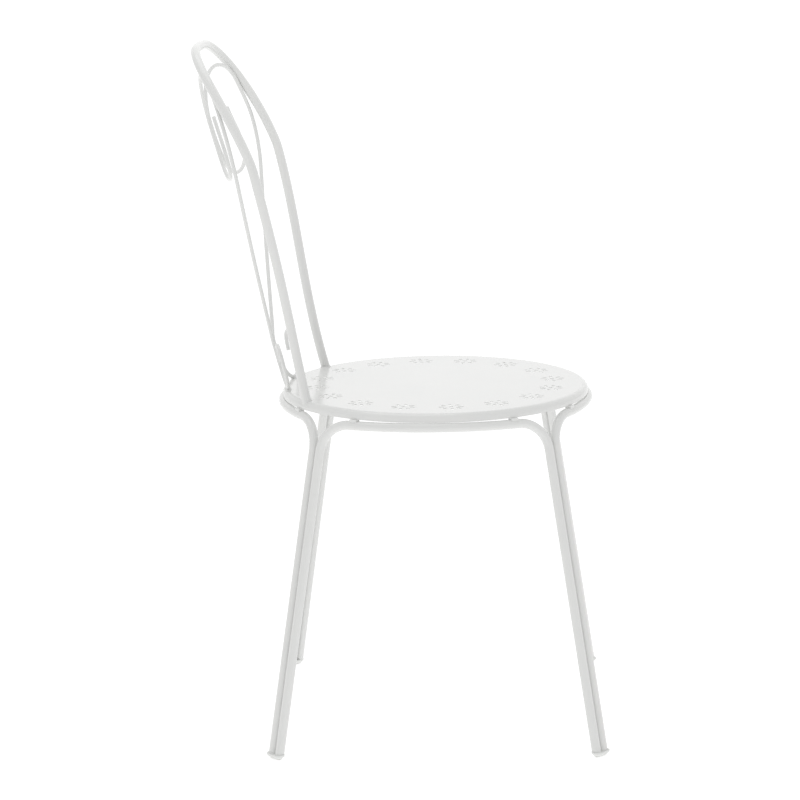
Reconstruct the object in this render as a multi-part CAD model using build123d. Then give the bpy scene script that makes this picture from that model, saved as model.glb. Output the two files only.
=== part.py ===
from build123d import *

import os
from math import asin, atan, cos, degrees, hypot, pi, radians, sin, sqrt, tan

# Welded steel bistro chair: round punched seat, hooped back with two scrolls, four U-shaped leg frames.
# Millimetres, +Z up, the sitter faces -Y, +X is the sitter's left.

# Seat pan
seat_height = 450.5
seat_radius = 203.0
seat_sheet = 1.0
rim_radius = 8.0
rim_height = 11.0
motif_count = 16
motif_inset = 45.2
motif_hole_radius = 3.0
petal_count = 8
petal_start = 8.5
petal_length = 8.0
petal_width = 4.0

# Tube of the hoop and the leg frames, rod of the scrolls, gap left where two of them are welded
tube_radius = 6.0
tube_wall = 1.5
rod_radius = 2.5
weld_gap = 0.1
tube_seam_turn = 90.0

# Leg base
rail_gap = 2.7
rail_rise = 2.2
rail_bend_radius = 38.0
leg_top_offset = 3.9
leg_splay = 11.8
leg_base_turn = 3.2
spacer_angle = 30.0
spacer_width = 10.0
spacer_depth = 8.0

# Foot glides
glide_lip = 2.0
glide_taper = 5.0
glide_overhang = 1.5
glide_round = 2.0
peg_length = 20.0
peg_clearance = 0.2

# Back: across from the middle, up the slope from the seat, forward of its middle line
back_lean = 13.8
hoop_foot_inset = 6.4
hoop_waist_across = 107.0
hoop_waist_height = 83.0
hoop_wide_across = 131.5
hoop_wide_height = 296.0
hoop_arch_height = 166.3
hoop_arch_square = 2.97
hoop_foot_forward = 35.7
hoop_wide_forward = 48.8
hoop_top_forward = 3.6
hoop_side_bow = 1.66
hoop_arch_bow = 1.47
hoop_foot_drop = 6.0
hoop_side_shares = (-0.08, 0.1, 0.3, 0.5, 0.7, 0.87)
hoop_arch_angles = (0, 5, 15, 30, 46, 64)
hoop_touch_angle = 31.0

# Scrolls: set back behind the middle line, turned forward on their outer side, bent back toward the top
scroll_setback = 5.5
scroll_slope_low = 0.23
scroll_slope_high = 0.308
scroll_bend = 7.8
scroll_bend_power = 1.4
scroll_foot_across = 41.0
scroll_bite = 0.3
hook_end = (42.0, 37.0)
hook_end_heading = 88.0
hook_top = (57.0, 61.5)
hook_side = (71.0, 44.0)
lower_touch_height = 58.0
stem_low = (14.3, 83.0)
stem_heading = 63.2

# Upper places of the scrolls: across from the middle, down the slope from the hoop's top
stem_high = (112.8, 184.0)
stem_wide = (127.9, 122.6)
crown = (62.3, 33.0)
crown_heading = 182.0
upper_touch_drop = 100.7
loop_bottom = (41.0, 175.8)
loop_side = (78.0, 143.5)
loop_side_heading = 94.0
loop_end = (62.0, 89.8)
loop_end_heading = 104.0

# Weld beads
hoop_weld_size = 0.9
scroll_weld_size = 1.8
groove_weld_radius = 1.1
groove_weld_depth = 1.4
groove_weld_length = 9.0
groove_weld_round = 0.9

# Sizes that follow
bore_radius = tube_radius - tube_wall
skirt_bottom = seat_height - rim_height
rail_radius = seat_radius - seat_sheet / 2
rail_height = skirt_bottom - rail_gap - tube_radius
leg_top_radius = rail_radius + leg_top_offset
leg_run = tan(radians(leg_splay))
pair_half = tube_radius + weld_gap / 2
glide_height = glide_lip + glide_taper
lean = radians(back_lean)
hoop_height = hoop_wide_height + hoop_arch_height
upper_touch_height = hoop_height - upper_touch_drop
hoop_swing = (hoop_wide_across - hoop_waist_across) / 2
hoop_span = hoop_wide_height - hoop_waist_height
hoop_foot_across = hoop_wide_across - hoop_swing * (1 - cos(pi * hoop_wide_height / hoop_span))
foot_reach = sqrt((seat_radius - hoop_foot_inset) ** 2 - hoop_foot_across**2)
back_reach = foot_reach + hoop_foot_forward / cos(lean)
motif_radius = seat_radius - motif_inset
FRAMES = {"right": 180.0, "front": 270.0, "left": 0.0, "rear": 90.0}
CORNERS = {"front_right": 225.0, "front_left": 315.0, "rear_left": 45.0, "rear_right": 135.0}


def back_point(across, height, forward):
    """Point of the leaning back."""
    return Vector(
        across,
        back_reach - forward * cos(lean) + height * sin(lean),
        seat_height + forward * sin(lean) + height * cos(lean),
    )


def hoop_forward(height):
    """How far forward the hoop stands, most at its widest place."""
    if height > hoop_wide_height:
        share = ((height - hoop_wide_height) / hoop_arch_height) ** hoop_arch_bow
        return hoop_wide_forward + (hoop_top_forward - hoop_wide_forward) * share
    share = sin(pi / 2 * max(height, 0.0) / hoop_wide_height) ** hoop_side_bow
    return hoop_foot_forward + (hoop_wide_forward - hoop_foot_forward) * share


def hoop_point(across, height):
    """Point of the hoop's bent surface."""
    return back_point(across, height, hoop_forward(height))


def scroll_point(across, height):
    """Point on the slightly twisted and bent sheet that one scroll lies in."""
    share = max(height, 0.0) / hoop_height
    slope = scroll_slope_low + (scroll_slope_high - scroll_slope_low) * share
    return back_point(across, height, slope * across - scroll_setback - scroll_bend * share**scroll_bend_power)


def station(surface, across, height, heading):
    """Point and direction on a surface, heading in degrees, 0 outward and 90 up the slope."""
    step_across = 0.01 * cos(radians(heading))
    step_height = 0.01 * sin(radians(heading))
    ahead = surface(across + step_across, height + step_height)
    behind = surface(across - step_across, height - step_height)
    return surface(across, height), (ahead - behind).normalized()


def tangent_edge(start, tangent, end):
    """Straight or round edge that leaves start along tangent."""
    chord = end - start
    if tangent.cross(chord).length < 1e-4 * chord.length:
        return Line(start, end).edge()
    return TangentArc(start, end, tangent=tangent).edge()


def biarc(start, start_tangent, end, end_tangent):
    """Two tangent arcs between two points with given directions."""
    chord = end - start
    total = start_tangent + end_tangent
    bend = 2 * (1 - start_tangent.dot(end_tangent))
    along = chord.dot(total)
    reach = chord.dot(chord) / (2 * along)
    if bend > 1e-6:
        reach = (sqrt(along * along + bend * chord.dot(chord)) - along) / bend
    first_corner = start + start_tangent * reach
    last_corner = end - end_tangent * reach
    middle = (first_corner + last_corner) * 0.5
    middle_tangent = (last_corner - first_corner).normalized()
    return [tangent_edge(start, start_tangent, middle), tangent_edge(middle, middle_tangent, end)]


def station_wire(stations):
    """Wire of tangent arcs through stations, each a point with its direction."""
    edges = []
    for (start, leaving), (end, arriving) in zip(stations, stations[1:]):
        edges += biarc(start, leaving, end, arriving)
    return Wire(edges)


def pipe(path, outer, inner=0.0):
    """Round bar or tube along a path, its seam turned away from the path's side."""
    section = Circle(outer)
    if inner:
        section -= Circle(inner)
    placed = Plane(origin=path @ 0, z_dir=path % 0) * Rot(0, 0, tube_seam_turn) * section
    return sweep(placed, path=path)


def turned(shape, angle):
    """Shape turned about the seat's axis."""
    return Rot(0, 0, angle) * shape


# Seat pan
def pan_section(inset):
    """Half section of the pan as a filled block, drawn inside its outer skin by inset."""
    outer = seat_radius - inset
    top = seat_height - inset
    corner = (seat_radius - rim_radius, seat_height - rim_radius)
    edges = [
        Polyline((corner[0], top), (0, top), (0, skirt_bottom), (outer, skirt_bottom), (outer, corner[1])),
        CenterArc(corner, rim_radius - inset, 0, 90),
    ]
    return Plane.XZ * make_face(edges)


def motif():
    """One punched flower: a round hole and a ring of petals."""
    petal_centre = petal_start + petal_length / 2
    petal = SlotOverall(petal_length, petal_width)
    petals = [place * petal for place in PolarLocations(petal_centre, petal_count)]
    return Sketch() + [Circle(motif_hole_radius), *petals]


seat_block = revolve(pan_section(0), Axis.Z)
motif_places = PolarLocations(motif_radius, motif_count, 180 / motif_count)
motifs = Sketch() + [place * motif() for place in motif_places]
punches = extrude(Pos(0, 0, seat_height - 2 * seat_sheet) * motifs, 3 * seat_sheet)
seat_pan = seat_block - revolve(pan_section(seat_sheet), Axis.Z) - punches


# Leg base
def rail_point(angle):
    """Point on the rail ring, angle from the rail's middle."""
    return Vector(rail_radius * cos(radians(angle)), rail_radius * sin(radians(angle)), rail_height)


def leg_point(side, height):
    """Point on the axis of one leg tube of the frame whose rail points to +X."""
    along = leg_top_radius + (rail_height - height) * leg_run
    corner = Vector(cos(radians(45)), side * sin(radians(45)), 0)
    inward = Vector(sin(radians(45)), -side * cos(radians(45)), 0)
    return corner * along + inward * pair_half + Vector(0, 0, height)


def leg_path():
    """Axis of one leg frame: leg, bend, rail that rises to its middle, bend, leg."""
    rail_end = 45 - degrees(asin((rail_bend_radius + pair_half) / rail_radius))
    bend_height = rail_height - rail_bend_radius
    foot = [leg_point(side, glide_height / 2) for side in (-1, 1)]
    bend = [leg_point(side, bend_height) for side in (-1, 1)]
    rise = (bend[0] - foot[0]).normalized()
    fall = (foot[1] - bend[1]).normalized()
    rail_middle = rail_point(0) + Vector(0, 0, rail_rise)
    rail = ThreePointArc(rail_point(-rail_end), rail_middle, rail_point(rail_end)).edge()
    edges = [Line(foot[0], bend[0]).edge()]
    edges += biarc(bend[0], rise, rail @ 0, rail % 0)
    edges.append(rail)
    edges += biarc(rail @ 1, rail % 1, bend[1], fall)
    edges.append(Line(bend[1], foot[1]).edge())
    return Wire(edges)


def foot_glide(angle):
    """Oval glide under one leg with a peg for each of its two tubes."""
    half = Rot(0, 0, angle - 45)
    foot = half * Pos(*leg_foot_centre()) * Rot(0, 0, 135)
    width = 2 * (tube_radius + glide_overhang)
    base = extrude(foot * SlotOverall(2 * pair_half + width, width), glide_height)
    base = chamfer(base.edges().group_by(Axis.Z)[0], glide_taper)
    glide = fillet(base.edges().group_by(Axis.Z)[0], glide_round)
    for side in (-1, 1):
        start = leg_point(side, glide_height / 2)
        axis = leg_point(side, rail_height) - start
        peg = Plane(origin=start, z_dir=axis) * Circle(bore_radius - peg_clearance)
        frame_turn = angle - side * 45
        glide += turned(extrude(peg, peg_length), frame_turn)
    return glide


def leg_foot_centre():
    """Middle of one pair of leg tubes on the floor, for the corner at 45 degrees."""
    reach = (leg_top_radius + rail_height * leg_run) * sqrt(0.5)
    return reach, reach, 0


def seat_spacer(angle, rail):
    """Block between a rail and the bottom edge of the seat's rim."""
    block = Box(
        spacer_depth,
        spacer_width,
        skirt_bottom - rail_height,
        align=(Align.CENTER, Align.CENTER, Align.MIN),
    )
    return turned(Pos(rail_radius, 0, rail_height) * block, angle) - rail


leg_axis = leg_path()
floor_reach = 2 * leg_top_radius + 2 * rail_height * leg_run
below_glide = Box(
    floor_reach,
    floor_reach,
    2 * glide_height,
    align=(Align.CENTER, Align.CENTER, Align.MAX),
)
foot_cut = Pos(0, 0, glide_height) * below_glide
leg_frame = pipe(leg_axis, tube_radius, bore_radius) - foot_cut
leg_bar = pipe(leg_axis, tube_radius)
spacer = {
    "a": seat_spacer(-spacer_angle, leg_bar),
    "b": seat_spacer(spacer_angle, leg_bar),
}


# Back hoop
def hoop_side(height):
    """Distance across, height and heading on the hoop's side, a wave from the waist to the widest place."""
    turn = pi * (hoop_wide_height - height) / hoop_span
    across = hoop_wide_across - hoop_swing * (1 - cos(turn))
    slope = hoop_swing * sin(turn) * pi / hoop_span
    return across, height, 90 - degrees(atan(slope))


def hoop_arch(angle):
    """Distance across, height and heading on the hoop's squarish arch, angle from its widest place."""
    turn = radians(angle)
    power = 2 / hoop_arch_square
    across = hoop_wide_across * cos(turn) ** power
    height = hoop_wide_height + hoop_arch_height * sin(turn) ** power
    slope = hoop_wide_across / hoop_arch_height * tan(turn) ** (2 - power)
    return across, height, 90 + degrees(atan(slope))


def hoop_stations():
    """Stations up one side of the hoop and down the other."""
    half = [hoop_side(share * hoop_wide_height) for share in hoop_side_shares]
    half += [hoop_arch(angle) for angle in hoop_arch_angles]
    stations = half + [(0.0, hoop_height, 180.0)]
    stations += [(-across, height, 360 - heading) for across, height, heading in reversed(half)]
    return [station(hoop_point, *values) for values in stations]


hoop_axis = station_wire(hoop_stations())
foot_level = seat_height - hoop_foot_drop
below_foot = Pos(0, 0, foot_level) * Cylinder(
    2 * seat_radius, seat_height, align=(Align.CENTER, Align.CENTER, Align.MAX)
)
back_hoop = pipe(hoop_axis, tube_radius, bore_radius) - seat_block - below_foot
hoop_bar = pipe(hoop_axis, tube_radius)


# Scroll rods
def scroll_foot_height():
    """Slope height at which the scroll's lowest bend just bites into the rim."""
    resting = scroll_point(scroll_foot_across, 0)
    reach = rim_radius + rod_radius - scroll_bite
    offset = hypot(resting.X, resting.Y) - (seat_radius - rim_radius)
    level = seat_height - rim_radius + sqrt(reach * reach - offset * offset)
    return (level - resting.Z) / cos(lean)


touch_space = tube_radius + rod_radius + weld_gap
touch_across = rod_radius + weld_gap / 2


def below_top(across, drop):
    """Distance across and height of a place measured down from the hoop's top."""
    return across, hoop_height - drop


def hoop_touch(inside):
    """Distance across, height and heading where the scroll runs this far inside the hoop."""
    across, height, heading = hoop_arch(hoop_touch_angle)
    inward = radians(heading + 90)
    return across + inside * cos(inward), height + inside * sin(inward), heading


def scroll_stations(inside):
    """Stations of the scroll on the +X side, from the lower hook's end to the upper loop's end."""
    stations = [
        (*hook_end, hook_end_heading),
        (*hook_top, 0.0),
        (*hook_side, 270.0),
        (scroll_foot_across, scroll_foot_height(), 180.0),
        (touch_across, lower_touch_height, 90.0),
        (*stem_low, stem_heading),
        (*below_top(*stem_high), stem_heading),
        (*below_top(*stem_wide), 90.0),
        hoop_touch(inside),
        (*below_top(*crown), crown_heading),
        (touch_across, upper_touch_height, 270.0),
        (*below_top(*loop_bottom), 0.0),
        (*below_top(*loop_side), loop_side_heading),
        (*below_top(*loop_end), loop_end_heading),
    ]
    return [station(scroll_point, *values) for values in stations]


touch_inside = tube_radius
for attempt in range(8):
    scroll_axis = station_wire(scroll_stations(touch_inside))
    touch_inside += touch_space - scroll_axis.distance_to(hoop_axis)
scroll_bar = pipe(scroll_axis, rod_radius)
scroll_left = scroll_bar - seat_block
scroll_right = mirror(scroll_left, Plane.YZ)


# Weld beads
def bead(centre, radius, *pieces):
    """Round weld bead at a joint, the largest part left where the welded pieces are cut away."""
    shape = Pos(*centre) * Sphere(radius)
    for piece in pieces:
        shape = (shape - piece).solids().sort_by(SortBy.VOLUME)[-1]
    return shape


def groove_bead(touch, along, outward, *pieces):
    """Slender weld bead in the groove beside the line where two pieces touch."""
    length = Cylinder(groove_weld_radius, groove_weld_length)
    rounded = fillet(length.edges().filter_by(GeomType.CIRCLE), groove_weld_round)
    shape = Plane(origin=touch + outward * groove_weld_depth, x_dir=outward, z_dir=along) * rounded
    for piece in pieces:
        shape = (shape - piece).solids().sort_by(SortBy.VOLUME)[-1]
    return shape


def both_sides(shape):
    """A shape and its mirror image across the chair's middle."""
    return {"left": shape, "right": mirror(shape, Plane.YZ)}


hoop_foot_welds = {}
for side, sign in {"left": 1, "right": -1}.items():
    foot = Vector(sign * hoop_foot_across, foot_reach, seat_height)
    hoop_foot_welds[side] = bead(foot, tube_radius + hoop_weld_size, hoop_bar, seat_block)
scroll_foot = scroll_point(scroll_foot_across, scroll_foot_height()) - Vector(0, 0, rod_radius)
scroll_foot_weld = bead(scroll_foot, rod_radius + scroll_weld_size, scroll_bar, seat_block)
twin = mirror(scroll_bar, Plane.YZ)
scroll_welds = {}
for level, height in {"lower": lower_touch_height, "upper": upper_touch_height}.items():
    touch, upward = station(scroll_point, 0.0, height, 90.0)
    scroll_welds[level] = groove_bead(touch, upward, upward.cross(Vector(1, 0, 0)), scroll_bar, twin)
_, touch_point, hoop_middle = scroll_axis.distance_to_with_closest_points(hoop_axis)
toward_hoop = (hoop_middle - touch_point).normalized()
touch_along = scroll_axis % scroll_axis.param_at_point(touch_point)
hoop_touch_point = touch_point + toward_hoop * (rod_radius + weld_gap / 2)
groove_side = touch_along.cross(toward_hoop).normalized()
scroll_hoop_weld = groove_bead(hoop_touch_point, touch_along, groove_side, scroll_bar, hoop_bar)

# Named nodes, the base turned against the seat as it was welded
nodes = {"seat_pan": seat_pan, "back_hoop": back_hoop}
nodes["scroll_rod_left"] = scroll_left
nodes["scroll_rod_right"] = scroll_right
for side, angle in FRAMES.items():
    nodes[f"leg_frame_{side}"] = turned(leg_frame, angle + leg_base_turn)
    for end, block in spacer.items():
        nodes[f"seat_spacer_{side}_{end}"] = turned(block, angle + leg_base_turn)
for corner, angle in CORNERS.items():
    nodes[f"foot_glide_{corner}"] = foot_glide(angle + leg_base_turn)
for side, weld in hoop_foot_welds.items():
    nodes[f"hoop_foot_weld_{side}"] = weld
for side, weld in both_sides(scroll_foot_weld).items():
    nodes[f"scroll_foot_weld_{side}"] = weld
for side, weld in both_sides(scroll_hoop_weld).items():
    nodes[f"scroll_hoop_weld_{side}"] = weld
for level, weld in scroll_welds.items():
    nodes[f"scroll_weld_{level}"] = weld

# Origin on the floor below the middle of the whole chair
box = Compound([solid for shape in nodes.values() for solid in shape.solids()]).bounding_box()
shift = Pos(-box.center().X, -box.center().Y, -box.min.Z)
os.makedirs("parts", exist_ok=True)
for name, shape in nodes.items():
    solids = (shift * shape).solids()
    export_step(Compound(solids) if len(solids) > 1 else solids[0], f"parts/{name}.step")
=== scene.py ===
"""White bistro chair: finishes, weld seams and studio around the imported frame."""

import math

import bpy
import numpy as np
from mathutils import Matrix, Vector


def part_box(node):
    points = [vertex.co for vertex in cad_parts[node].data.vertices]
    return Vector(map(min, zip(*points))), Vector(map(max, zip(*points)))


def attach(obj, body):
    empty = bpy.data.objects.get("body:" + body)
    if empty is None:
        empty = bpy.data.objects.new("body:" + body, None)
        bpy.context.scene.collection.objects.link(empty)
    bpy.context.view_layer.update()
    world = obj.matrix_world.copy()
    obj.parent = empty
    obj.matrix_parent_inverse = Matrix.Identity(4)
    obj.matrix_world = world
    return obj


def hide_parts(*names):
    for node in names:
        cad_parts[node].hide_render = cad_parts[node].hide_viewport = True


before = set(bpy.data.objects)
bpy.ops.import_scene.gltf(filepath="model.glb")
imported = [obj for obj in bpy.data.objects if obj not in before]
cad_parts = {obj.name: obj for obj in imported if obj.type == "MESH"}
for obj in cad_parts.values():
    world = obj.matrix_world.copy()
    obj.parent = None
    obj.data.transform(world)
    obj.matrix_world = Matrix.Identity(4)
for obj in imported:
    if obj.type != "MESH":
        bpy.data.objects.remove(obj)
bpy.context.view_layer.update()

bl_info = {
    "name": "Bistro Chair",
    "version": (1, 0, 0),
    "blender": (4, 5, 0),
    "location": "View3D > Sidebar > Chair",
    "description": "Finishes, weld seams and studio for a white welded bistro chair",
    "category": "Object",
}

BODY = "root"
TUBE_STARTS = ("back_hoop", "leg_frame", "seat_spacer")
TUBE_NODES = [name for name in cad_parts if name.startswith(TUBE_STARTS)]
ROD_NODES = [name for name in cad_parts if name.startswith("scroll_rod")]
GLIDE_NODES = [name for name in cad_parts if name.startswith("foot_glide")]
SIDES = {"left": 1.0, "right": -1.0}

# Camera: side of the square picture in pixels, width of the sensor in millimetres
PHOTO_PIXELS = 800
SENSOR_WIDTH = 36

# Seat and tubes, in metres
SEAT_LOW, SEAT_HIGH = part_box("seat_pan")
SEAT_MIDDLE_Y = (SEAT_LOW.y + SEAT_HIGH.y) / 2
SEAT_RADIUS = (SEAT_HIGH.x - SEAT_LOW.x) / 2
SEAT_TOP = SEAT_HIGH.z
RIM_ROUND = 0.008
TUBE_RADIUS = 0.006

# Directions of the welded tubes on the chair's left side, and of the two rods where they meet
HOOP_FOOT_HEADING = np.array([-0.1675, 0.2351, 0.9574])
HOOP_TOUCH_HEADING = np.array([-0.4718, 0.3477, 0.8102])
SCROLL_HEADING = np.array([0.0, 0.2538, 0.9673])

# Grid of the weld beads: points along and round them, and how near to its tip a bead ends
RING_STEPS = 288
BEAD_STEPS = 72
SECTION_STEPS = 16
BEAD_END = 0.995

# Roundness of a bead's ridges, and the rounds taken to find where a tube meets the seat
RIDGE_POWER = 0.6
MEETING_ROUNDS = 24

# Coat of each kind of piece: the material's name, its share of the peel and of the roughness
TUBE_COAT = ("powder_coat_tube", 1.0, 1.0)
ROD_COAT = ("powder_coat_rod", 0.8, 1.0)
SHEET_COAT = ("powder_coat_sheet", 0.4, 0.8)
WELD_COAT = ("powder_coat_weld", 0.6, 1.2)
COAT_IOR = 1.5

# Nylon: smoothest and roughest, and the scuffed band's lower and upper edge in grain widths
NYLON_ROUGHNESS = (0.42, 0.58)
NYLON_IOR = 1.53
SCUFF_BAND = (0.4, 1.6)

# Floor paint: smoothest and roughest, and the mottles per metre
FLOOR_ROUGHNESS = (0.85, 0.95)
FLOOR_MOTTLE = 1.5


# Small helpers
def linear(hex_colour):
    """Linear red, green, blue of an sRGB hex colour: the sRGB curve undone channel by channel."""
    values = [int(hex_colour[place:place + 2], 16) / 255 for place in (1, 3, 5)]
    return [v / 12.92 if v <= 0.04045 else ((v + 0.055) / 1.055) ** 2.4 for v in values]


def add(tree, kind, inputs=None, **settings):
    """Adds a node with its settings, and sets or links its inputs."""
    node = tree.nodes.new(kind)
    for name, value in settings.items():
        setattr(node, name, value)
    for socket, value in (inputs or {}).items():
        if isinstance(value, bpy.types.NodeSocket):
            tree.links.new(value, node.inputs[socket])
        else:
            node.inputs[socket].default_value = value
    return node


def new_material(name):
    """Empty node material, its tree and its output node."""
    material = bpy.data.materials.new(name)
    material.use_nodes = True
    material.node_tree.nodes.clear()
    return material, material.node_tree, material.node_tree.nodes.new("ShaderNodeOutputMaterial")


def dress(names, material):
    """Gives CAD nodes a material in their own slot."""
    for name in names:
        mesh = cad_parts[name].data
        mesh.materials.clear()
        mesh.materials.append(material)


def grid_faces(rows, columns, closed_rows):
    """Quads of a grid of points whose columns join end to end, and whose rows may."""
    row = np.arange(rows if closed_rows else rows - 1)
    r, c = np.meshgrid(row, np.arange(columns), indexing="ij")
    next_r, next_c = (r + 1) % rows, (c + 1) % columns
    corners = [r * columns + c, r * columns + next_c, next_r * columns + next_c, next_r * columns + c]
    return np.stack(corners, axis=-1).reshape(-1, 4)


def across_axis(axis):
    """Two directions at right angles to an axis and to each other, right-handed with it."""
    first = np.cross(axis, [0.0, 1.0, 0.0])
    first /= np.linalg.norm(first)
    return first, np.cross(axis, first)


def new_weld(name, points, faces, material, node):
    """Weld piece in the frame's metres that rides on the chair and stands for its CAD node."""
    mesh = bpy.data.meshes.new(name)
    mesh.from_pydata(points.tolist(), [], faces)
    mesh.update()
    mesh.shade_smooth()
    mesh.materials.append(material)
    piece = bpy.data.objects.new(name, mesh)
    bpy.context.scene.collection.objects.link(piece)
    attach(piece, BODY)
    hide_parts(node)


# Sizes and colours a user would change
class ChairFinish(bpy.types.PropertyGroup):
    """Colours and surface of the chair's coat and glides."""

    coat_colour: bpy.props.FloatVectorProperty(
        name="Coat colour", description="White of the powder coat", subtype="COLOR",
        size=3, min=0, max=1, default=linear("#E2E2E0"))
    coat_shade: bpy.props.FloatVectorProperty(
        name="Coat shade", description="Slightly greyer white where the coat is thinner", subtype="COLOR",
        size=3, min=0, max=1, default=linear("#DCDDDC"))
    coat_roughness: bpy.props.FloatProperty(
        name="Coat roughness", description="Semi-gloss of the coat", subtype="FACTOR", min=0, max=1,
        default=0.2)
    coat_uneven: bpy.props.FloatProperty(
        name="Coat unevenness", description="How far the roughness wanders", subtype="FACTOR",
        min=0, max=1, default=0.03)
    film_size: bpy.props.FloatProperty(
        name="Film size", description="Width of a patch of thicker or thinner coat", unit="LENGTH",
        default=0.06)
    cure_size: bpy.props.FloatProperty(
        name="Cure size", description="Width of a patch of duller or glossier coat", unit="LENGTH",
        default=0.025)
    peel_size: bpy.props.FloatProperty(
        name="Peel size", description="Width of one wave of the coat's orange peel", unit="LENGTH",
        default=0.004)
    peel_depth: bpy.props.FloatProperty(
        name="Peel depth", description="Height of the orange peel", unit="LENGTH", default=0.00004)
    glide_colour: bpy.props.FloatVectorProperty(
        name="Glide colour", description="Milky white of the glides", subtype="COLOR",
        size=3, min=0, max=1, default=linear("#E2E3E1"))
    glide_scuff: bpy.props.FloatVectorProperty(
        name="Glide scuff", description="Grey of the worn undersides", subtype="COLOR",
        size=3, min=0, max=1, default=linear("#B9B8B4"))
    grain_size: bpy.props.FloatProperty(
        name="Grain size", description="Width of the glides' mould grain", unit="LENGTH", default=0.0015)
    grain_depth: bpy.props.FloatProperty(
        name="Grain depth", description="Height of the glides' mould grain", unit="LENGTH", default=0.00004)


class ChairWelds(bpy.types.PropertyGroup):
    """Sizes of the weld beads."""

    ring_radius: bpy.props.FloatProperty(
        name="Ring radius", description="Bead round the hoop's feet", unit="LENGTH", default=0.0014)
    bead_radius: bpy.props.FloatProperty(
        name="Bead radius", description="Bead beside the rods", unit="LENGTH", default=0.0011)
    bead_length: bpy.props.FloatProperty(
        name="Bead length", description="Length of a bead beside the rods", unit="LENGTH", default=0.009)
    mound_height: bpy.props.FloatProperty(
        name="Mound height", description="Weld at a scroll's foot, above the seat's skin", unit="LENGTH",
        default=0.003)
    mound_width: bpy.props.FloatProperty(
        name="Mound width", description="Weld at a scroll's foot, across the rod", unit="LENGTH",
        default=0.0088)
    mound_length: bpy.props.FloatProperty(
        name="Mound length", description="Weld at a scroll's foot, along the rim", unit="LENGTH",
        default=0.02)
    ripple_pitch: bpy.props.FloatProperty(
        name="Ripple pitch", description="From one ripple of a bead to the next", unit="LENGTH",
        default=0.0016)
    ripple_depth: bpy.props.FloatProperty(
        name="Ripple depth", description="Share of the bead's radius that its ripples take", subtype="FACTOR",
        min=0, max=1, default=0.16)


class ChairStudio(bpy.types.PropertyGroup):
    """Floor, light and camera."""

    floor_colour: bpy.props.FloatVectorProperty(
        name="Floor colour", description="Pale plain floor", subtype="COLOR",
        size=3, min=0, max=1, default=linear("#DCDCDC"))
    floor_glow: bpy.props.FloatProperty(
        name="Floor glow", description="Light of the floor itself, as of a lit table", default=0.5)
    floor_size: bpy.props.FloatProperty(
        name="Floor size", description="Side of the square floor", unit="LENGTH", default=90.0)
    sky_level: bpy.props.FloatProperty(
        name="Sky level", description="Mean brightness of the studio's white walls", default=0.72)
    sky_lean: bpy.props.FloatVectorProperty(
        name="Sky lean", description="How much brighter the walls are toward X, Y and Z", subtype="XYZ",
        size=3, default=(0.0, -0.04, 0.12))
    wall_side: bpy.props.FloatVectorProperty(
        name="Wall side", description="Direction of the bright wall behind the chair", subtype="DIRECTION",
        size=3, default=(0.97, 0.07, 0.22))
    wall_gain: bpy.props.FloatProperty(
        name="Wall gain", description="How much brighter the middle of that wall is", default=0.4)
    wall_focus: bpy.props.FloatProperty(
        name="Wall focus", description="Power by which the bright wall fades sideways", default=4.0)
    panel_place: bpy.props.FloatVectorProperty(
        name="Panel place", description="Middle of the soft light panel above the chair",
        subtype="TRANSLATION", size=3, default=(0.1, 0.35, 1.9))
    panel_size: bpy.props.FloatProperty(
        name="Panel size", description="Side of the square light panel", unit="LENGTH", default=1.1)
    panel_power: bpy.props.FloatProperty(
        name="Panel power", description="Power of the light panel", unit="POWER", default=4.0)
    lens: bpy.props.FloatProperty(
        name="Lens", description="Focal length on a 36 mm sensor", unit="CAMERA", default=129.72)
    distance: bpy.props.FloatProperty(
        name="Distance", description="Camera to the seat's middle", unit="LENGTH", default=3.83826)
    aim_height: bpy.props.FloatProperty(
        name="Aim height", description="Height of the point that the camera turns round", unit="LENGTH",
        default=0.45)
    azimuth: bpy.props.FloatProperty(
        name="Azimuth", description="Camera's turn round the chair", subtype="ANGLE",
        default=math.radians(-85.931))
    elevation: bpy.props.FloatProperty(
        name="Elevation", description="Camera's angle above the horizon", subtype="ANGLE",
        default=math.radians(11.308))
    roll: bpy.props.FloatProperty(
        name="Roll", description="Camera's tilt about its own axis", subtype="ANGLE",
        default=math.radians(-0.788))
    seat_pixel: bpy.props.FloatVectorProperty(
        name="Seat pixel", description="Where the seat's middle stands in the picture", size=2,
        default=(435.40, 383.35))


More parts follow.
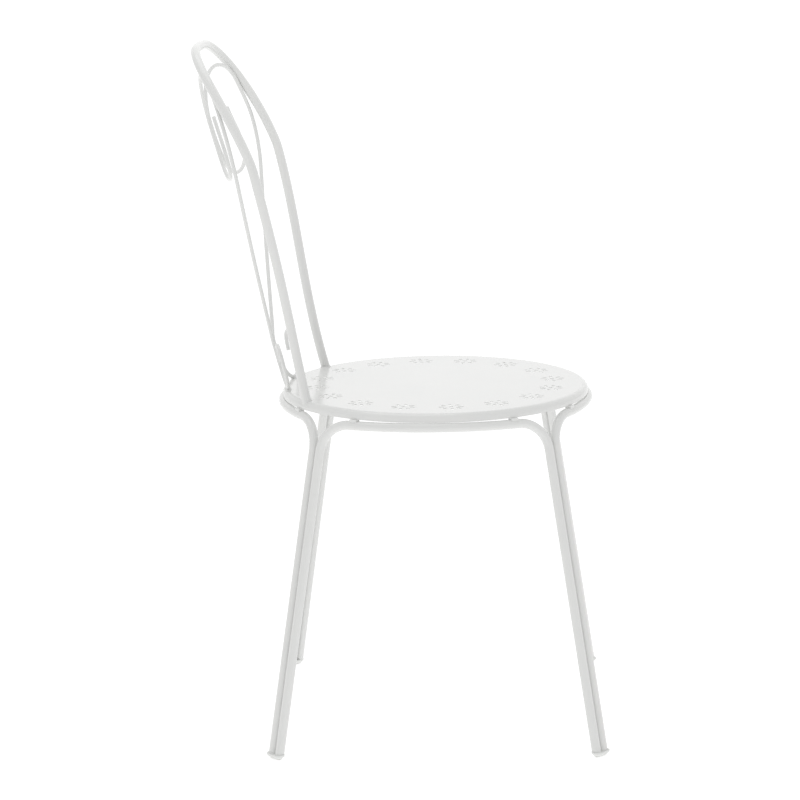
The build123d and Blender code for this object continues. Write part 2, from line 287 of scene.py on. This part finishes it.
# Materials
def powder_coat(name, peel_share, rough_share):
    """White polyester powder coat, sprayed on steel and baked.

    It gives the eye an even semi-gloss white with soft reflections and a faint orange peel. Real peel
    waves are 1 to 2 mm wide, too fine to show here, so they are drawn about 4 mm wide.
    """
    finish = bpy.context.scene.chair_finish
    material, tree, output = new_material(name)
    place = add(tree, "ShaderNodeTexCoord").outputs["Object"]
    film = add(tree, "ShaderNodeTexNoise", {"Vector": place, "Scale": 1 / finish.film_size, "Detail": 3.0})
    colour = add(tree, "ShaderNodeMix", {
        "Factor": film.outputs["Fac"],
        "A": (*finish.coat_colour, 1), "B": (*finish.coat_shade, 1),
    }, data_type="RGBA")
    cure = add(tree, "ShaderNodeTexNoise", {"Vector": place, "Scale": 1 / finish.cure_size, "Detail": 2.0})
    rough = add(tree, "ShaderNodeMapRange", {
        "Value": cure.outputs["Fac"],
        "To Min": (finish.coat_roughness - finish.coat_uneven) * rough_share,
        "To Max": (finish.coat_roughness + finish.coat_uneven) * rough_share,
    })
    peel = add(tree, "ShaderNodeTexNoise", {
        "Vector": place, "Scale": 1 / finish.peel_size, "Detail": 1.0, "Roughness": 0.4,
    })
    bump = add(tree, "ShaderNodeBump", {
        "Strength": 1.0, "Distance": finish.peel_depth * peel_share, "Height": peel.outputs["Fac"],
    })
    shader = add(tree, "ShaderNodeBsdfPrincipled", {
        "Base Color": colour.outputs["Result"],
        "Roughness": rough.outputs["Result"],
        "Normal": bump.outputs["Normal"],
        "IOR": COAT_IOR,
    })
    tree.links.new(shader.outputs["BSDF"], output.inputs["Surface"])
    return material


def moulded_nylon(name):
    """White polyamide, injection moulded.

    It gives the eye a milky matte white with a fine mould grain, greyer on the underside that slides
    on the floor. Real grain is a few tenths of a millimetre, so it is drawn 1.5 mm wide to show.
    """
    finish = bpy.context.scene.chair_finish
    material, tree, output = new_material(name)
    place = add(tree, "ShaderNodeTexCoord").outputs["Object"]
    grain = add(tree, "ShaderNodeTexNoise", {"Vector": place, "Scale": 1 / finish.grain_size, "Detail": 2.0})
    height = add(tree, "ShaderNodeSeparateXYZ", {"Vector": place}).outputs["Z"]
    ragged = add(tree, "ShaderNodeMath", {
        0: grain.outputs["Fac"], 1: finish.grain_size, 2: height,
    }, operation="MULTIPLY_ADD")
    worn = add(tree, "ShaderNodeMapRange", {
        "Value": ragged.outputs["Value"],
        "From Min": SCUFF_BAND[0] * finish.grain_size, "From Max": SCUFF_BAND[1] * finish.grain_size,
        "To Min": 1.0, "To Max": 0.0,
    })
    colour = add(tree, "ShaderNodeMix", {
        "Factor": worn.outputs["Result"],
        "A": (*finish.glide_colour, 1), "B": (*finish.glide_scuff, 1),
    }, data_type="RGBA")
    rough = add(tree, "ShaderNodeMapRange", {
        "Value": grain.outputs["Fac"], "To Min": NYLON_ROUGHNESS[0], "To Max": NYLON_ROUGHNESS[1],
    })
    bump = add(tree, "ShaderNodeBump", {
        "Strength": 1.0, "Distance": finish.grain_depth, "Height": grain.outputs["Fac"],
    })
    shader = add(tree, "ShaderNodeBsdfPrincipled", {
        "Base Color": colour.outputs["Result"],
        "Roughness": rough.outputs["Result"],
        "Normal": bump.outputs["Normal"],
        "IOR": NYLON_IOR,
    })
    tree.links.new(shader.outputs["BSDF"], output.inputs["Surface"])
    return material


# Weld beads
def seat_level(radius):
    """Height of the seat's skin at a radius: flat, then a quarter round down to the rim."""
    past = np.clip(radius - (SEAT_RADIUS - RIM_ROUND), 0, RIM_ROUND)
    return SEAT_TOP - RIM_ROUND + np.sqrt(RIM_ROUND**2 - past**2)


def ripples(along):
    """Bead radius as a share along its length: rounded ridges one pitch apart, with sharp valleys between."""
    welds = bpy.context.scene.chair_welds
    ridge = np.abs(np.sin(math.pi * along / welds.ripple_pitch)) ** RIDGE_POWER
    return 1 - welds.ripple_depth + welds.ripple_depth * ridge


def foot_ring(side):
    """Rippled bead along the line where a hoop tube stands on the seat.

    For each turn round the tube, a line up its wall is followed until it meets the seat's skin. The
    bead's section is a circle about that meeting point, in the plane of the tube's axis, and its radius
    is the ring radius times the ripples.
    """
    welds = bpy.context.scene.chair_welds
    low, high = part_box(f"hoop_foot_weld_{side}")
    middle = np.array([(low.x + high.x) / 2, (low.y + high.y) / 2, SEAT_TOP])
    axis = HOOP_FOOT_HEADING * [SIDES[side], 1, 1]
    first, second = across_axis(axis)
    turn = np.linspace(0, 2 * math.pi, RING_STEPS, endpoint=False)
    outward = np.outer(np.cos(turn), first) + np.outer(np.sin(turn), second)
    climb = np.zeros(RING_STEPS)
    for _ in range(MEETING_ROUNDS):
        meeting = middle + TUBE_RADIUS * outward + np.outer(climb, axis)
        climb -= meeting[:, 2] - seat_level(np.hypot(meeting[:, 0], meeting[:, 1] - SEAT_MIDDLE_Y))
    pitches = round(2 * math.pi * TUBE_RADIUS / welds.ripple_pitch)
    radius = welds.ring_radius * ripples(turn / (2 * math.pi) * pitches * welds.ripple_pitch)
    section = np.linspace(0, 2 * math.pi, SECTION_STEPS, endpoint=False)[None, :, None]
    offset = np.cos(section) * outward[:, None, :] - np.sin(section) * axis
    points = meeting[:, None, :] + radius[:, None, None] * offset
    return points.reshape(-1, 3), grid_faces(RING_STEPS, SECTION_STEPS, True).tolist()


def straight_bead(middle, heading, up, height, half_width, length):
    """Slender rippled bead: an oval section along a line, swelling as a flat-topped dome.

    The dome is the root of one less the fourth power of the place from the middle, times the ripples.
    It scales an oval with the height along up and the half width across, and flat faces close the ends.
    """
    place = np.linspace(-BEAD_END, BEAD_END, BEAD_STEPS)
    share = np.sqrt(1 - place**4) * ripples((place + 1) * length / 2)
    section = np.linspace(0, 2 * math.pi, SECTION_STEPS, endpoint=False)
    across = np.cross(heading, up)
    oval = np.outer(height * np.cos(section), up) + np.outer(half_width * np.sin(section), across)
    line = middle + np.outer(place * length / 2, heading)
    points = line[:, None, :] + share[:, None, None] * oval
    ring = np.arange(SECTION_STEPS)
    faces = grid_faces(BEAD_STEPS, SECTION_STEPS, False).tolist()
    faces += [ring[::-1].tolist(), (ring + (BEAD_STEPS - 1) * SECTION_STEPS).tolist()]
    return points.reshape(-1, 3), faces


def groove_bead(node, heading):
    """Bead in the groove between two rods, or a rod and the hoop, at the middle of its CAD node."""
    welds = bpy.context.scene.chair_welds
    low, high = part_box(node)
    up, _ = across_axis(heading)
    middle = np.array((low + high) / 2)
    return straight_bead(middle, heading, up, welds.bead_radius, welds.bead_radius, welds.bead_length)


def foot_mound(side):
    """Low mound that fills the crevice between a scroll's foot and the seat, square to the seat's skin."""
    welds = bpy.context.scene.chair_welds
    low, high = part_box(f"scroll_foot_weld_{side}")
    foot = np.array([(low.x + high.x) / 2, (low.y + high.y) / 2 - SEAT_MIDDLE_Y])
    reach = np.linalg.norm(foot)
    outward = np.array([*foot, 0.0]) / reach
    tilt = math.asin((reach - (SEAT_RADIUS - RIM_ROUND)) / RIM_ROUND)
    up = math.sin(tilt) * outward + math.cos(tilt) * np.array([0.0, 0.0, 1.0])
    along = np.array([-outward[1], outward[0], 0.0])
    middle = np.array([foot[0], foot[1] + SEAT_MIDDLE_Y, seat_level(reach)])
    return straight_bead(middle, along, up, welds.mound_height, welds.mound_width / 2, welds.mound_length)


# Pieces
class CHAIR_OT_coat_tubes(bpy.types.Operator):
    """Powder coat on the hoop, the leg frames and the spacers."""

    bl_idname = "chair.coat_tubes"
    bl_label = "Coat tubes"

    def execute(self, context):
        dress(TUBE_NODES, powder_coat(*TUBE_COAT))
        return {"FINISHED"}


class CHAIR_OT_coat_rods(bpy.types.Operator):
    """Powder coat on the scroll rods."""

    bl_idname = "chair.coat_rods"
    bl_label = "Coat rods"

    def execute(self, context):
        dress(ROD_NODES, powder_coat(*ROD_COAT))
        return {"FINISHED"}


class CHAIR_OT_coat_seat(bpy.types.Operator):
    """Powder coat on the pressed seat pan."""

    bl_idname = "chair.coat_seat"
    bl_label = "Coat seat"

    def execute(self, context):
        dress(["seat_pan"], powder_coat(*SHEET_COAT))
        return {"FINISHED"}


class CHAIR_OT_glides(bpy.types.Operator):
    """Nylon on the four foot glides."""

    bl_idname = "chair.glides"
    bl_label = "Glides"

    def execute(self, context):
        dress(GLIDE_NODES, moulded_nylon("moulded_nylon_white"))
        return {"FINISHED"}


class CHAIR_OT_welds(bpy.types.Operator):
    """Rippled weld beads at the feet of the hoop and the scrolls and where the rods meet."""

    bl_idname = "chair.welds"
    bl_label = "Welds"

    def execute(self, context):
        coat = powder_coat(*WELD_COAT)
        for side, sign in SIDES.items():
            new_weld(f"hoop_foot_bead_{side}", *foot_ring(side), coat, f"hoop_foot_weld_{side}")
            new_weld(f"scroll_foot_bead_{side}", *foot_mound(side), coat, f"scroll_foot_weld_{side}")
            node = f"scroll_hoop_weld_{side}"
            heading = HOOP_TOUCH_HEADING * [sign, 1, 1]
            new_weld(f"scroll_hoop_bead_{side}", *groove_bead(node, heading), coat, node)
        for level in ("lower", "upper"):
            node = f"scroll_weld_{level}"
            new_weld(f"scroll_bead_{level}", *groove_bead(node, SCROLL_HEADING), coat, node)
        return {"FINISHED"}


class CHAIR_OT_stage(bpy.types.Operator):
    """Pale floor, soft white walls, a light panel and the camera."""

    bl_idname = "chair.stage"
    bl_label = "Stage"

    def execute(self, context):
        studio = context.scene.chair_studio
        self.floor(context, studio)
        self.walls(context, studio)
        self.panel(context, studio)
        self.camera(context, studio)
        context.scene.view_settings.view_transform = "Standard"
        return {"FINISHED"}

    def floor(self, context, studio):
        """Flat square under the feet, in matte pale paint with a very faint mottle and a glow of its own."""
        material, tree, output = new_material("matte_floor_paint")
        place = add(tree, "ShaderNodeTexCoord").outputs["Object"]
        mottle = add(tree, "ShaderNodeTexNoise", {"Vector": place, "Scale": FLOOR_MOTTLE, "Detail": 2.0})
        rough = add(tree, "ShaderNodeMapRange", {
            "Value": mottle.outputs["Fac"], "To Min": FLOOR_ROUGHNESS[0], "To Max": FLOOR_ROUGHNESS[1],
        })
        shader = add(tree, "ShaderNodeBsdfPrincipled", {
            "Base Color": (*studio.floor_colour, 1), "Roughness": rough.outputs["Result"],
            "Specular IOR Level": 0.0,
            "Emission Color": (1, 1, 1, 1), "Emission Strength": studio.floor_glow,
        })
        tree.links.new(shader.outputs["BSDF"], output.inputs["Surface"])
        half = studio.floor_size / 2
        mesh = bpy.data.meshes.new("floor")
        corners = [(-half, -half, 0), (half, -half, 0), (half, half, 0), (-half, half, 0)]
        mesh.from_pydata(corners, [], [(0, 1, 2, 3)])
        mesh.materials.append(material)
        floor = bpy.data.objects.new("floor", mesh)
        context.scene.collection.objects.link(floor)

    def walls(self, context, studio):
        """White walls all round, of which one is brighter.

        Brightness is the mean level, plus the direction's share along the lean, plus the wall gain times
        a power of the direction's share toward the bright wall.
        """
        world = bpy.data.worlds.new("studio_walls")
        world.use_nodes = True
        tree = world.node_tree
        tree.nodes.clear()
        direction = add(tree, "ShaderNodeTexCoord").outputs["Generated"]
        share = add(tree, "ShaderNodeVectorMath", {0: direction, 1: studio.sky_lean}, operation="DOT_PRODUCT")
        level = add(tree, "ShaderNodeMath", {0: share.outputs["Value"], 1: studio.sky_level}, operation="ADD")
        toward = add(tree, "ShaderNodeVectorMath", {
            0: direction, 1: studio.wall_side,
        }, operation="DOT_PRODUCT")
        facing = add(tree, "ShaderNodeMath", {0: toward.outputs["Value"], 1: 0.0}, operation="MAXIMUM")
        faded = add(tree, "ShaderNodeMath", {
            0: facing.outputs["Value"], 1: studio.wall_focus,
        }, operation="POWER")
        level = add(tree, "ShaderNodeMath", {
            0: faded.outputs["Value"], 1: studio.wall_gain, 2: level.outputs["Value"],
        }, operation="MULTIPLY_ADD")
        wall = add(tree, "ShaderNodeBackground", {"Color": (1, 1, 1, 1), "Strength": level.outputs["Value"]})
        output = add(tree, "ShaderNodeOutputWorld", {"Surface": wall.outputs["Background"]})
        output.is_active_output = True
        context.scene.world = world

    def panel(self, context, studio):
        """Square soft light above the chair, facing straight down."""
        data = bpy.data.lights.new("light_panel", "AREA")
        data.size = studio.panel_size
        data.energy = studio.panel_power
        panel = bpy.data.objects.new("light_panel", data)
        panel.location = studio.panel_place
        context.scene.collection.objects.link(panel)

    def camera(self, context, studio):
        """Camera at a distance from the seat's middle, turned, raised and rolled, shifted to its pixel."""
        a, e, r = studio.azimuth, studio.elevation, studio.roll
        back = Vector((math.sin(a) * math.cos(e), -math.cos(a) * math.cos(e), math.sin(e)))
        level_right = Vector((math.cos(a), math.sin(a), 0))
        level_up = back.cross(level_right)
        right = level_right * math.cos(r) + level_up * math.sin(r)
        up = level_up * math.cos(r) - level_right * math.sin(r)
        data = bpy.data.cameras.new("camera")
        data.sensor_width = SENSOR_WIDTH
        data.lens = studio.lens
        data.shift_x = (PHOTO_PIXELS / 2 - studio.seat_pixel[0]) / PHOTO_PIXELS
        data.shift_y = (studio.seat_pixel[1] - PHOTO_PIXELS / 2) / PHOTO_PIXELS
        camera = bpy.data.objects.new("camera", data)
        target = Vector((0, SEAT_MIDDLE_Y, studio.aim_height))
        turn = Matrix((right, up, back)).transposed().to_4x4()
        camera.matrix_world = Matrix.Translation(target + back * studio.distance) @ turn
        context.scene.collection.objects.link(camera)
        context.scene.camera = camera


class CHAIR_PT_sidebar(bpy.types.Panel):
    """Lists the chair's steps and settings."""

    bl_idname = "CHAIR_PT_sidebar"
    bl_label = "Chair"
    bl_space_type = "VIEW_3D"
    bl_region_type = "UI"
    bl_category = "Chair"

    def draw(self, context):
        for step in STEPS:
            self.layout.operator(step.bl_idname)
        for group in (context.scene.chair_finish, context.scene.chair_welds, context.scene.chair_studio):
            box = self.layout.box()
            for name in group.__annotations__:
                box.prop(group, name)


STEPS = (
    CHAIR_OT_coat_tubes,
    CHAIR_OT_coat_rods,
    CHAIR_OT_coat_seat,
    CHAIR_OT_glides,
    CHAIR_OT_welds,
    CHAIR_OT_stage,
)
CLASSES = (ChairFinish, ChairWelds, ChairStudio, *STEPS, CHAIR_PT_sidebar)


def register():
    for cls in CLASSES:
        bpy.utils.register_class(cls)
    bpy.types.Scene.chair_finish = bpy.props.PointerProperty(type=ChairFinish)
    bpy.types.Scene.chair_welds = bpy.props.PointerProperty(type=ChairWelds)
    bpy.types.Scene.chair_studio = bpy.props.PointerProperty(type=ChairStudio)


def unregister():
    del bpy.types.Scene.chair_studio
    del bpy.types.Scene.chair_welds
    del bpy.types.Scene.chair_finish
    for cls in reversed(CLASSES):
        bpy.utils.unregister_class(cls)


def main():
    """Makes every piece in order."""
    register()
    bpy.ops.chair.coat_tubes()
    bpy.ops.chair.coat_rods()
    bpy.ops.chair.coat_seat()
    bpy.ops.chair.glides()
    bpy.ops.chair.welds()
    bpy.ops.chair.stage()


if __name__ == "__main__":
    main()
